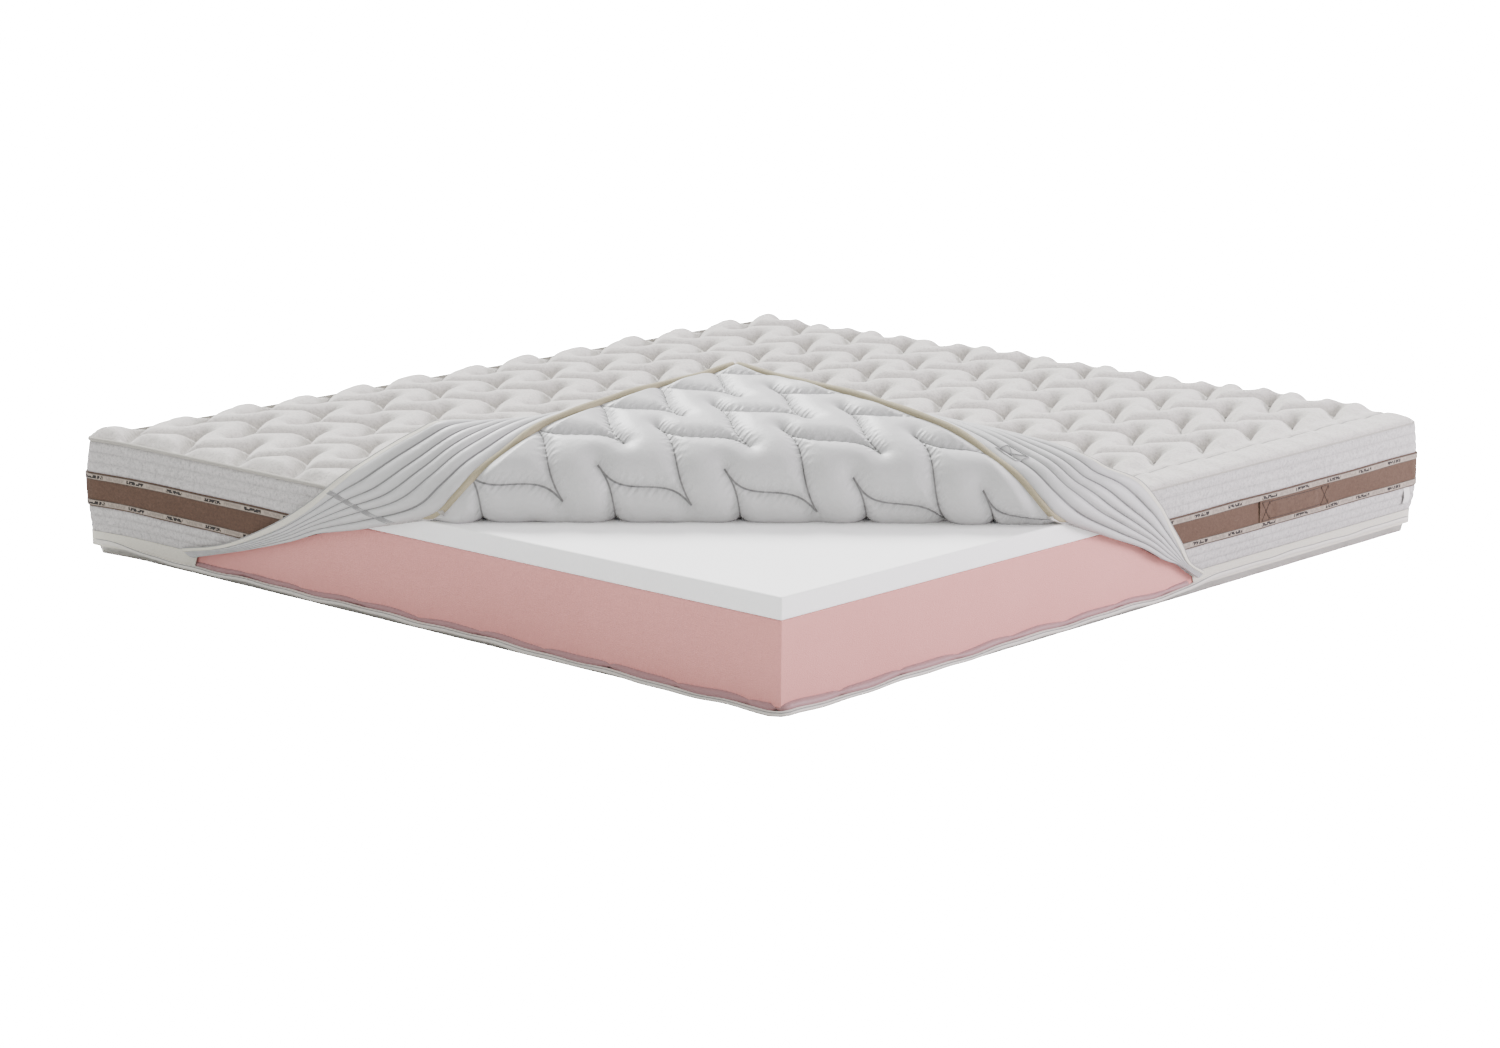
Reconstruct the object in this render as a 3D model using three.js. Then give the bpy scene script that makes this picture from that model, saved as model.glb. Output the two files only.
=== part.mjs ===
// Memory foam mattress, 180 x 200 cm, with its zip-off quilted cover opened at one corner.
// Frame: millimetres, +Z up, origin at the middle of the footprint on the surface it lies on.
// X is the width, Y is the length. The open corner is the one at +X, -Y.
import * as THREE from 'three';

// Driving dimensions
const WIDTH = 1800;
const LENGTH = 2000;
const GAP = 0.3;
const CORE_INSET = 8;
const CORNER_RADIUS = 35;
const BOTTOM_PANEL = 20;
const BASE_FOAM = 150;
const MEMORY_FOAM = 40;
const TOP_PANEL = 32;
const FLAP_THICKNESS = 18;
const ROLL_RADIUS = 80;
const FOLD_DISTANCE = 600;
const FLAP_HEADING = THREE.MathUtils.degToRad(172);
const FLAP_SLIDE = -65;
const FLAP_TIP = 30;
const BORDER_SKIN = 4.7;
const BORDER_INSET = 2;
const ZIP_LEVEL = 35;
const ZIP_COIL = 2.7;
const ZIP_TAPE = 8.7;
const ZIP_INSET = 5;
const BAND_LOW = 100;
const BAND_HIGH = 169;
const RIBBON_WIDTH = 12;
const BORDER_TOP = 229;
const BINDING_HEIGHT = 7;
const HANDLE_LENGTH = 250;
const HANDLE_HEIGHT = 37;
const HANDLE_MIDDLE = 523;
const LEFT_WING_START = -625;
const RIGHT_WING_START = 205;
const WING_SKIN = 5;
const WING_INSET = 4;

// Levels worked out from them
const HALF_X = WIDTH / 2;
const HALF_Y = LENGTH / 2;
const CORE_X = HALF_X - CORE_INSET;
const CORE_Y = HALF_Y - CORE_INSET;
const MEMORY_LEVEL = BOTTOM_PANEL + BASE_FOAM;
const CORE_TOP = MEMORY_LEVEL + MEMORY_FOAM;
const COVER_LEVEL = CORE_TOP + 1;
const NEAR_CORNER = new THREE.Vector2(CORE_X, -CORE_Y);
const INWARD = new THREE.Vector2(-0.6753, 0.7375);
const ALONG = new THREE.Vector2(0.7375, 0.6753);

const mattress = new THREE.Group();

function addPiece(name, geometry, color, roughness, metalness = 0) {
  const material = new THREE.MeshStandardMaterial({ color, roughness, metalness });
  const mesh = new THREE.Mesh(geometry, material);
  mesh.name = name;
  mattress.add(mesh);
  return mesh;
}

function cornerArc(centreX, centreY, radius, startQuarter, steps = 6) {
  const points = [];
  for (let i = 0; i <= steps; i += 1) {
    const angle = (startQuarter + i / steps) * Math.PI / 2;
    points.push(new THREE.Vector2(centreX + radius * Math.cos(angle), centreY + radius * Math.sin(angle)));
  }
  return points;
}

// Rounded outline, anticlockwise from the near corner, which stays square as on a cut foam block.
function blockOutline(halfX, halfY, radius) {
  return [
    new THREE.Vector2(halfX, -halfY),
    ...cornerArc(halfX - radius, halfY - radius, radius, 0),
    ...cornerArc(-halfX + radius, halfY - radius, radius, 1),
    ...cornerArc(-halfX + radius, -halfY + radius, radius, 2),
  ];
}

function extrude(shape, low, high) {
  const geometry = new THREE.ExtrudeGeometry(shape, { depth: high - low, bevelEnabled: false });
  return geometry.translate(0, 0, low);
}

// A band round the three closed corners, from the left side (at startX) clockwise seen from
// above to the right side (at endY).
function sideCourse(inset, startX, endY) {
  const halfX = HALF_X - inset;
  const halfY = HALF_Y - inset;
  const radius = CORNER_RADIUS - inset;
  const course = [
    new THREE.Vector2(halfX, endY),
    ...cornerArc(halfX - radius, halfY - radius, radius, 0),
    ...cornerArc(-halfX + radius, halfY - radius, radius, 1),
    ...cornerArc(-halfX + radius, -halfY + radius, radius, 2),
    new THREE.Vector2(startX, -halfY),
  ];
  return course;
}

function sideBand(inset, thickness, low, high, startX = LEFT_WING_START, endY = RIGHT_WING_START) {
  const outer = sideCourse(inset, startX, endY);
  const inner = sideCourse(inset + thickness, startX, endY).reverse();
  return extrude(new THREE.Shape([...outer, ...inner]), low, high);
}

function closedVolume(positions, indices) {
  let volume = 0;
  const corner = (k) => new THREE.Vector3().fromArray(positions, 3 * indices[k]);
  for (let k = 0; k < indices.length; k += 3) {
    volume += corner(k).dot(corner(k + 1).cross(corner(k + 2)));
  }
  return volume;
}

// A sheet of constant thickness on surface(u, v): both faces lie along its normal, at the two offsets.
function thickSheet(surface, stepsU, stepsV, offsets) {
  const positions = [];
  const indices = [];
  const row = stepsV + 1;
  const layer = (stepsU + 1) * row;
  const nudge = 1e-3;
  for (const offset of offsets) {
    for (let i = 0; i <= stepsU; i += 1) {
      for (let j = 0; j <= stepsV; j += 1) {
        const u = i / stepsU;
        const v = j / stepsV;
        const alongU = surface(u + nudge, v).sub(surface(u - nudge, v));
        const alongV = surface(u, v + nudge).sub(surface(u, v - nudge));
        const normal = alongU.cross(alongV).normalize();
        positions.push(...surface(u, v).addScaledVector(normal, offset).toArray());
      }
    }
  }
  const quad = (a, b, c, d) => indices.push(a, b, c, a, c, d);
  for (let i = 0; i < stepsU; i += 1) {
    for (let j = 0; j < stepsV; j += 1) {
      const a = i * row + j;
      quad(a, a + 1, a + row + 1, a + row);
      quad(layer + a, layer + a + row, layer + a + row + 1, layer + a + 1);
    }
  }
  for (let i = 0; i < stepsU; i += 1) {
    const a = i * row;
    const b = a + stepsV;
    quad(a, a + row, layer + a + row, layer + a);
    quad(b, layer + b, layer + b + row, b + row);
  }
  for (let j = 0; j < stepsV; j += 1) {
    const c = stepsU * row + j;
    quad(j, layer + j, layer + j + 1, j + 1);
    quad(c, c + 1, layer + c + 1, layer + c);
  }
  if (closedVolume(positions, indices) < 0) indices.reverse();
  const geometry = new THREE.BufferGeometry();
  geometry.setAttribute('position', new THREE.Float32BufferAttribute(positions, 3));
  geometry.setIndex(indices);
  return geometry;
}

// The peeled corner of the top panel: from the fold line it rolls up and back on a circle, then
// runs almost level. travel is the distance from the fold line, across the distance along it.
function peeled(travel, across) {
  const turn = Math.min(travel / ROLL_RADIUS, FLAP_HEADING);
  const run = Math.max(travel - FLAP_HEADING * ROLL_RADIUS, 0);
  const back = FOLD_DISTANCE - ROLL_RADIUS * Math.sin(turn) - run * Math.cos(FLAP_HEADING);
  const height = ROLL_RADIUS * (1 - Math.cos(turn)) + run * Math.sin(FLAP_HEADING);
  const slide = across + FLAP_SLIDE * (Math.max(travel, 0) / FOLD_DISTANCE) ** 1.5;
  const x = NEAR_CORNER.x + back * INWARD.x + slide * ALONG.x;
  const y = NEAR_CORNER.y + back * INWARD.y + slide * ALONG.y;
  return new THREE.Vector3(x, y, COVER_LEVEL + height);
}

const leftReach = (travel) => -(FOLD_DISTANCE - travel) * ALONG.x / -INWARD.x;
const rightReach = (travel) => (FOLD_DISTANCE - travel) * ALONG.y / INWARD.y;

function peeledSheet(startTravel, endTravel, rows, offsets) {
  const surface = (u, v) => {
    const travel = startTravel + (endTravel - startTravel) * u;
    const across = leftReach(travel) + (rightReach(travel) - leftReach(travel)) * v;
    return peeled(travel, across);
  };
  return thickSheet(surface, rows, 12, offsets);
}

function tube(points, radius, steps, sides) {
  const section = new THREE.Shape();
  for (let i = 0; i < sides; i += 1) {
    const angle = 2 * Math.PI * i / sides;
    const x = radius * Math.cos(angle);
    const y = radius * Math.sin(angle);
    if (i === 0) section.moveTo(x, y);
    else section.lineTo(x, y);
  }
  const extrudePath = new THREE.CatmullRomCurve3(points);
  return new THREE.ExtrudeGeometry(section, { steps, extrudePath, bevelEnabled: false });
}

function foamCore() {
  const outline = new THREE.Shape(blockOutline(CORE_X, CORE_Y, CORNER_RADIUS - CORE_INSET));
  addPiece('base_foam', extrude(outline, BOTTOM_PANEL, MEMORY_LEVEL - GAP), 0xd0a4a0, 0.95);
  addPiece('memory_foam_layer', extrude(outline, MEMORY_LEVEL, CORE_TOP), 0xf0f0ee, 0.9);
}

function bottomCover() {
  const halfX = HALF_X - 1;
  const halfY = HALF_Y - 1;
  const outline = new THREE.Shape(blockOutline(halfX, halfY, CORNER_RADIUS));
  addPiece('bottom_panel', extrude(outline, 0, BOTTOM_PANEL - GAP), 0xe6e2da, 0.9);
  const radius = CORNER_RADIUS - ZIP_INSET;
  const lip = new THREE.Shape(blockOutline(HALF_X - ZIP_INSET, HALF_Y - ZIP_INSET, radius));
  const tapeX = CORE_X + GAP;
  const tapeY = CORE_Y + GAP;
  lip.holes.push(new THREE.Path(blockOutline(tapeX, tapeY, radius - ZIP_COIL)));
  addPiece('lower_zip_tape', extrude(lip, BOTTOM_PANEL, ZIP_LEVEL), 0xe8e4d8, 0.8);
}

function topPanel() {
  const half = CORE_X + 1;
  const outline = blockOutline(half, CORE_Y + 1, CORNER_RADIUS - CORE_INSET + 1).slice(1);
  const cutLeft = NEAR_CORNER.x + (FOLD_DISTANCE + 1) / INWARD.x;
  const cutRight = NEAR_CORNER.y + (FOLD_DISTANCE + 1) / INWARD.y;
  outline.push(new THREE.Vector2(cutLeft, -CORE_Y - 1), new THREE.Vector2(half, cutRight));
  const slab = extrude(new THREE.Shape(outline), COVER_LEVEL, COVER_LEVEL + TOP_PANEL);
  addPiece('top_panel', slab, 0xe2dedb, 0.9);
}

function peeledCorner() {
  const quarter = ROLL_RADIUS * Math.PI / 2;
  const flapStart = quarter + 12;
  const offsets = [0, FLAP_THICKNESS];
  addPiece('corner_roll', peeledSheet(1, quarter, 8, offsets), 0xeceae6, 0.9);
  const flap = peeledSheet(flapStart, FOLD_DISTANCE - FLAP_TIP, 22, offsets);
  addPiece('corner_flap', flap, 0xeeece8, 0.9);
  const bindingOffset = 9;
  const bindingSteps = 12;
  const stations = Array.from({ length: bindingSteps + 1 }, (_, i) => (
    flapStart + (FOLD_DISTANCE - FLAP_TIP - flapStart) * i / bindingSteps));
  const left = stations.map((travel) => peeled(travel, leftReach(travel) - bindingOffset));
  const right = stations.map((travel) => peeled(travel, rightReach(travel) + bindingOffset));
  addPiece('flap_binding_left', tube(left, 3, 30, 8), 0xcbc4b0, 0.8);
  addPiece('flap_binding_right', tube(right, 3, 30, 8), 0xcbc4b0, 0.8);
}

// The side border, in the three strips that are sewn edge to edge, with its ribbons and seams.
function border() {
  const zipTop = ZIP_LEVEL + GAP + ZIP_COIL + GAP + ZIP_TAPE;
  const band = (low, high) => sideBand(BORDER_INSET, BORDER_SKIN, low, high);
  addPiece('border_lower_strip', band(zipTop + GAP, BAND_LOW - GAP), 0xdedad6, 0.9);
  addPiece('border_accent_band', band(BAND_LOW, BAND_HIGH - GAP), 0x7c6a5c, 0.85);
  addPiece('border_upper_strip', band(BAND_HIGH, BORDER_TOP - GAP), 0xdedad6, 0.9);
  const ribbonInset = 0.7;
  const ribbon = (low) => sideBand(ribbonInset, 1, low, low + RIBBON_WIDTH);
  addPiece('band_ribbon_lower', ribbon(BAND_LOW + 2), 0xb8a696, 0.7);
  addPiece('band_ribbon_upper', ribbon(BAND_HIGH - 2 - RIBBON_WIDTH), 0xb8a696, 0.7);
  const cordLow = BORDER_TOP;
  const seam = sideBand(1, BORDER_SKIN + 1, cordLow, cordLow + BINDING_HEIGHT);
  addPiece('top_seam_binding', seam, 0xd8d2c8, 0.8);
}

// The zip: the border's tape, the coil where it is closed, and the slider with its pull.
function zip() {
  const coilLow = ZIP_LEVEL + GAP;
  const tapeLow = coilLow + ZIP_COIL + GAP;
  const tape = sideBand(ZIP_INSET, ZIP_COIL, tapeLow, tapeLow + ZIP_TAPE);
  addPiece('upper_zip_tape', tape, 0xe8e4d8, 0.8);
  const coilStart = -930;
  const coilEnd = 800;
  const outer = sideCourse(ZIP_INSET, 0, coilEnd).slice(0, -1);
  const inner = sideCourse(ZIP_INSET + ZIP_COIL, 0, coilEnd).slice(0, -1);
  const cut = (course) => {
    const kept = course.filter((point) => point.y > coilStart);
    kept.push(new THREE.Vector2(course[course.length - 8].x, coilStart));
    return kept;
  };
  const coil = new THREE.Shape([...cut(outer), ...cut(inner).reverse()]);
  addPiece('zip_coil', extrude(coil, coilLow, coilLow + ZIP_COIL), 0x6b6a6c, 0.6);
  const sliderFace = HALF_X - ZIP_INSET + GAP;
  const slider = new THREE.BoxGeometry(2.6, 16, 12);
  const sliderY = coilStart + 22;
  const sliderZ = coilLow + ZIP_COIL / 2;
  addPiece('zip_slider', slider, 0x9a9894, 0.35, 1).position.set(-sliderFace - 1.3, sliderY, sliderZ);
  const pull = new THREE.BoxGeometry(1.4, 30, 8);
  const pullX = -sliderFace - 2.6 - GAP - 0.7;
  addPiece('zip_pull_tab', pull, 0x9a9894, 0.35, 1).position.set(pullX, sliderY - 15, sliderZ);
}

function handleStrap(name, side, middleY) {
  const box = new THREE.BoxGeometry(1.6, HANDLE_LENGTH, HANDLE_HEIGHT);
  const middleZ = (BAND_LOW + BAND_HIGH) / 2;
  addPiece(name, box, 0x85736a, 0.85).position.set(side * (HALF_X - 0.9), middleY, middleZ);
}

// A border wing: the strip between the edge that is sewn to the peeled corner and its zip edge,
// both smooth curves through hand-set stations, with a straight strip between them.
function wingSurface(sewn, zipEdge) {
  const sewnCurve = new THREE.CatmullRomCurve3(sewn);
  const zipCurve = new THREE.CatmullRomCurve3(zipEdge);
  return (u, v) => {
    const along = THREE.MathUtils.clamp(u, 0, 1);
    const point = sewnCurve.getPoint(along).lerp(zipCurve.getPoint(along), v);
    point.x = Math.min(point.x, HALF_X - WING_INSET);
    point.y = Math.max(point.y, -HALF_Y + WING_INSET);
    return point;
  };
}

const vector = (x, y, z) => new THREE.Vector3(x, y, z);
const WING_CLEARANCE = 24;
const LEFT_TRAVELS = [45, 90, 140, 200, 250, 300];
const RIGHT_TRAVELS = [45, 90, 140, 200, 250, 300];

function leftWingSurface() {
  const sewn = [
    vector(-612, -996, 36), vector(-435, -996, 76), vector(-224, -996, 140), vector(-93, -996, 176),
    ...LEFT_TRAVELS.map((travel) => peeled(travel, leftReach(travel) - WING_CLEARANCE)),
  ];
  const zipEdge = [
    vector(-618, -996, 54), vector(-478, -996, 94), vector(-310, -996, 160), vector(-208, -996, 225),
    vector(-117, -994, 284), vector(-58, -970, 328), vector(-28, -943, 351), vector(-5, -890, 366),
    vector(5, -820, 352), vector(20, -702, 333),
  ];
  return wingSurface(sewn, zipEdge);
}

function rightWingSurface() {
  const sewn = [
    vector(896, 196, 36), vector(896, 130, 74), vector(896, 6, 130), vector(896, -112, 172),
    ...RIGHT_TRAVELS.map((travel) => peeled(travel, rightReach(travel) + WING_CLEARANCE)),
  ];
  const zipEdge = [
    vector(896, 202, 54), vector(896, 160, 99), vector(896, 100, 150), vector(896, 50, 205),
    vector(896, -10, 256), vector(892, -97, 291), vector(864, -132, 318), vector(795, -155, 336),
    vector(677, -167, 345), vector(605, -183, 347),
  ];
  return wingSurface(sewn, zipEdge);
}

function wings() {
  const half = WING_SKIN / 2;
  const left = leftWingSurface();
  const right = rightWingSurface();
  addPiece('border_wing_left', thickSheet(left, 36, 6, [-half, half]), 0xe9e7e4, 0.9);
  addPiece('border_wing_right', thickSheet(right, 36, 6, [-half, half]), 0xe9e7e4, 0.9);
  const tapeShare = 0.04;
  const beyond = (surface) => (u, v) => surface(u, 1 + 0.006 + tapeShare * v);
  addPiece('wing_zip_tape_left', thickSheet(beyond(left), 36, 1, [-1, 1]), 0xe8e4d8, 0.8);
  addPiece('wing_zip_tape_right', thickSheet(beyond(right), 36, 1, [-1, 1]), 0xe8e4d8, 0.8);
  const strap = (u, v) => right(0.52 + 0.2 * u, 0.38 + 0.2 * v);
  const strapOffsets = [half + 2, half + 3.6];
  addPiece('handle_right_front', thickSheet(strap, 8, 2, strapOffsets), 0x85736a, 0.85);
}

function trim() {
  handleStrap('handle_right_rear', 1, HANDLE_MIDDLE);
  handleStrap('handle_left_rear', -1, HANDLE_MIDDLE);
  handleStrap('handle_left_front', -1, -HANDLE_MIDDLE);
  const label = new THREE.BoxGeometry(0.8, 22, 34);
  addPiece('care_label', label, 0xf4f2ee, 0.8).position.set(HALF_X - 1.2, 945, BAND_LOW - 19);
}

foamCore();
bottomCover();
topPanel();
peeledCorner();
border();
zip();
wings();
trim();

export default mattress;
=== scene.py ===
"""Memory foam mattress with its zip-off quilted cover opened and folded back at one corner.

Metres, +Z up. Every soft piece is a surface worked out on a grid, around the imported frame.
"""
from types import SimpleNamespace

import bpy
import numpy as np
from mathutils import Matrix, Vector


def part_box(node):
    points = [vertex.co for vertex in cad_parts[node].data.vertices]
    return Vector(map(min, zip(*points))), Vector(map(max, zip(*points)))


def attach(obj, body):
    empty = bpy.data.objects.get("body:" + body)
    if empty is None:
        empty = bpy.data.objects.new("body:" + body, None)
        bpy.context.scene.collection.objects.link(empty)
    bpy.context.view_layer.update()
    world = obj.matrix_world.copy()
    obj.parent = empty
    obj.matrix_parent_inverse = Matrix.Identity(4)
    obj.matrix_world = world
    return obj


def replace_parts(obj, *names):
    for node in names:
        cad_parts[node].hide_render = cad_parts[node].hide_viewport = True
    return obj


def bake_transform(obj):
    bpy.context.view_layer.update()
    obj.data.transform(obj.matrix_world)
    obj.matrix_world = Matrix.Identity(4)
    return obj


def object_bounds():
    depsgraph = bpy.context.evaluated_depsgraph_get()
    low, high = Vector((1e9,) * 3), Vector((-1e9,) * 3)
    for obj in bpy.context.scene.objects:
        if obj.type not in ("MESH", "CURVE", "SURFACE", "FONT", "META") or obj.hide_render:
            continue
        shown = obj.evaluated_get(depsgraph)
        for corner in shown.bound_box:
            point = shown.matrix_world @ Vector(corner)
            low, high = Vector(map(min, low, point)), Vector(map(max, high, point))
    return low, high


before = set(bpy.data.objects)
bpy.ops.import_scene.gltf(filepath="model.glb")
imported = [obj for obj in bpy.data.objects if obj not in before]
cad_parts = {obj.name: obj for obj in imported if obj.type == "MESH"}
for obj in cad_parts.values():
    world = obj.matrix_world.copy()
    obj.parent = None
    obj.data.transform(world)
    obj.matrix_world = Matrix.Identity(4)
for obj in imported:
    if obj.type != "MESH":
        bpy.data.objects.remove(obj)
CAD_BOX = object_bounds()

# ---------------------------------------------------------------- sizes, from the frame
FOAM_LOW, FOAM_HIGH = (np.array(corner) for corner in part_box("base_foam"))
MEMORY_LOW, MEMORY_HIGH = (np.array(corner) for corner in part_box("memory_foam_layer"))
BAND_LOW, BAND_HIGH = (corner[2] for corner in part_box("border_accent_band"))
STRIP_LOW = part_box("border_lower_strip")[0][2]
STRIP_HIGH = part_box("border_upper_strip")[1][2]
ZIP_BAND_LOW, ZIP_BAND_HIGH = 0.020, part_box("upper_zip_tape")[1][2] + 0.002
HALF_X, HALF_Y = -CAD_BOX[0][0], CAD_BOX[1][1]
CORE_X, CORE_Y = MEMORY_HIGH[0], MEMORY_HIGH[1]
CORE_TOP = MEMORY_HIGH[2]
CORNER_RADIUS = 0.026
PANEL_X, PANEL_Y = HALF_X - 0.004, HALF_Y - 0.004

NEAR_CORNER = np.array([CORE_X, -CORE_Y])
INWARD = np.array([-0.6753, 0.7375])
ALONG = np.array([0.7375, 0.6753])
FOLD_DISTANCE = 0.60
FOLD_MIDDLE, FOLD_REACH = -0.053, 0.60
EDGE_SLANT = 0.68
FLAP_SLIDE = -0.065
FLAP_TIP = 0.005
QUILT_CORE = 0.009

PITCH_X, PITCH_Y = 0.163, 0.164
STITCH_ORIGIN = np.array([0.824, -0.848])
KNIT_PUFF, LINING_PUFF = 0.040, 0.019
STITCHES = ((-0.090, 0.008, 0.001), (PITCH_X - 0.090, -0.015, -0.005))
STITCH_SLANT = 0.88
RIGHT_SEAM, PLAIN_MARGIN = 0.068, 0.098
CHANNEL = 0.028


# ---------------------------------------------------------------- mesh helpers
def smooth(t):
    """The smooth step 3t^2 - 2t^3 on t cut to 0..1."""
    t = np.clip(t, 0, 1)
    return t * t * (3 - 2 * t)


def add_piece(name, verts, quads, material, marks=None, loops=(), crease=None):
    """A mesh object from a vertex array, a quad array and a few longer loops that close its ends."""
    mesh = bpy.data.meshes.new(name)
    quads = np.asarray(quads, np.int32).reshape(-1, 4)
    tail = [np.asarray(loop, np.int32) for loop in loops]
    corners = np.concatenate([quads.ravel(), *tail])
    sizes = np.concatenate([np.full(len(quads), 4), [len(loop) for loop in tail]]).astype(np.int32)
    starts = np.concatenate([[0], np.cumsum(sizes)[:-1]]).astype(np.int32)
    mesh.vertices.add(len(verts))
    mesh.vertices.foreach_set("co", np.asarray(verts, np.float32).ravel())
    mesh.loops.add(len(corners))
    mesh.loops.foreach_set("vertex_index", corners)
    mesh.polygons.add(len(sizes))
    mesh.polygons.foreach_set("loop_start", starts)
    mesh.update(calc_edges=True)
    mesh.validate()
    mesh.polygons.foreach_set("use_smooth", np.ones(len(mesh.polygons), bool))
    for key, values in (marks or {}).items():
        layer = mesh.attributes.new(key, "FLOAT", "POINT")
        layer.data.foreach_set("value", np.asarray(values, np.float32).ravel())
    if crease:
        mesh.set_sharp_from_angle(angle=np.radians(crease))
    mesh.materials.append(material)
    piece = bpy.data.objects.new(name, mesh)
    bpy.context.scene.collection.objects.link(piece)
    return piece


def grid_quads(rows, columns, start=0, wrap=False):
    """Quads of a rows x columns vertex grid; with wrap the last column joins the first."""
    i, j = np.meshgrid(np.arange(rows - 1), np.arange(columns if wrap else columns - 1), indexing="ij")
    k = (j + 1) % columns
    quads = np.stack([i * columns + j, i * columns + k, (i + 1) * columns + k, (i + 1) * columns + j], -1)
    return quads.reshape(-1, 4) + start


def grid_rim(rows, columns):
    """The vertex numbers round a grid's edge, in order."""
    top = np.arange(columns)
    right = np.arange(1, rows) * columns + columns - 1
    bottom = (rows - 1) * columns + np.arange(columns - 2, -1, -1)
    left = np.arange(rows - 2, 0, -1) * columns
    return np.concatenate([top, right, bottom, left])


def outward(verts, quads, loops=()):
    """True if the closed mesh's faces point out: the sum of signed tetrahedra is positive."""
    p = verts[quads]
    volume = np.einsum("ij,ij->i", p[:, 0], np.cross(p[:, 1], p[:, 2])).sum()
    volume += np.einsum("ij,ij->i", p[:, 0], np.cross(p[:, 2], p[:, 3])).sum()
    for loop in loops:
        q = verts[np.asarray(loop)]
        fan = np.cross(q[1:-1], q[2:])
        volume += (fan @ q[0]).sum()
    return volume > 0


def add_closed(name, verts, quads, material, marks=None, loops=(), crease=None):
    """add_piece, with all faces turned over first if they point in."""
    quads = np.asarray(quads).reshape(-1, 4)
    centred = verts - verts.mean(0)
    if not outward(centred, quads, loops):
        quads = quads[:, ::-1]
        loops = [np.asarray(loop)[::-1] for loop in loops]
    return add_piece(name, verts, quads, material, marks, loops, crease)


def add_rings(name, rings, material, crease=None):
    """A closed piece from a grid of rings, each joined to the next and the two last ones capped."""
    rows, count = rings.shape[:2]
    loops = [np.arange(count)[::-1], (rows - 1) * count + np.arange(count)]
    quads = grid_quads(rows, count, wrap=True)
    return add_closed(name, rings.reshape(-1, 3), quads, material, None, loops, crease)


def add_shell(name, front, back, material, marks=None, crease=None):
    """A closed sheet between two grids of the same shape: front, back and the rim between them."""
    rows, columns = front.shape[:2]
    count = rows * columns
    rim = grid_rim(rows, columns)
    turn = np.roll(rim, -1)
    quads = np.concatenate([
        grid_quads(rows, columns),
        grid_quads(rows, columns, count)[:, ::-1],
        np.stack([rim, rim + count, turn + count, turn], -1)])
    verts = np.concatenate([front.reshape(-1, 3), back.reshape(-1, 3)])
    doubled = {key: np.concatenate([np.ravel(v), np.ravel(v)]) for key, v in (marks or {}).items()}
    return add_closed(name, verts, quads, material, doubled, crease=crease)


def unit(vectors):
    return vectors / np.maximum(np.linalg.norm(vectors, axis=1), 1e-9)[:, None]


def run_along(path):
    """The length from the start of a path to each of its points."""
    return np.concatenate([[0], np.cumsum(np.linalg.norm(np.diff(path, axis=0), axis=1))])


def tube_parts(path, radii, sides, flat=1.0, closed=False):
    """Rings square to a path, with radii along it, pressed to flat times their height."""
    ahead = np.gradient(path, axis=0)
    if closed:
        ahead = np.roll(path, -1, 0) - np.roll(path, 1, 0)
    ahead = unit(ahead)
    side = unit(np.cross(ahead, [0, 0, 1.0]))
    up = np.cross(side, ahead)
    turn = np.linspace(0, 2 * np.pi, sides, endpoint=False)
    radii = np.broadcast_to(radii, len(path))[:, None, None]
    ring = side[:, None] * np.cos(turn)[:, None] + up[:, None] * np.sin(turn)[:, None] * flat
    verts = (path[:, None] + ring * radii).reshape(-1, 3)
    rows = len(path)
    quads = grid_quads(rows, sides, wrap=True)
    if closed:
        last = grid_quads(2, sides, wrap=True)
        last = np.where(last < sides, last + (rows - 1) * sides, last - sides)
        return verts, np.concatenate([quads, last]), []
    return verts, quads, [np.arange(sides)[::-1], (rows - 1) * sides + np.arange(sides)]


def add_tube(name, path, radii, material, sides=10, flat=1.0, closed=False):
    verts, quads, loops = tube_parts(path, radii, sides, flat, closed)
    return add_closed(name, verts, quads, material, None, loops)


def add_threads(name, paths, radius, material, sides=5):
    """Many thin tubes as one piece: sewing thread laid on a surface."""
    verts, quads, loops, count = [], [], [], 0
    for path in paths:
        some, faces, ends = tube_parts(path, radius, sides)
        verts.append(some)
        quads.append(faces + count)
        loops += [end + count for end in ends]
        count += len(some)
    return add_closed(name, np.concatenate(verts), np.concatenate(quads), material, None, loops)


def through(points, steps):
    """A smooth Catmull-Rom curve through given points, at evenly spaced parameter values."""
    points = np.asarray(points, float)
    ends = [2 * points[0] - points[1]], [2 * points[-1] - points[-2]]
    padded = np.concatenate([ends[0], points, ends[1]])
    s = np.linspace(0, len(points) - 1, steps)
    k = np.minimum(s.astype(int), len(points) - 2)
    t = (s - k)[:, None]
    a, b, c, d = (padded[k + shift] for shift in range(4))
    return 0.5 * (2 * b + (c - a) * t + (2 * a - 5 * b + 4 * c - d) * t ** 2
                  + (3 * b - a - 3 * c + d) * t ** 3)


def normals(grid):
    """Unit normals of a grid surface, from the cross product of its two directions."""
    n = np.cross(np.gradient(grid, axis=0), np.gradient(grid, axis=1))
    return n / np.maximum(np.linalg.norm(n, axis=2), 1e-12)[..., None]


# ---------------------------------------------------------------- quilting
def stitch_curves():
    """The two stitched curves that leave each low point of the zigzag, over one pitch upwards.

    One leans left by a little over half a pitch and one right by the rest, each with an S wave.
    """
    v = np.linspace(0, 1, 90)
    whole, half = np.sin(2 * np.pi * v), np.sin(np.pi * v)
    waves = [lean * v + swing * whole + bow * half for lean, swing, bow in STITCHES]
    return [np.stack([wave, v * PITCH_Y], -1) for wave in waves]


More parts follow.
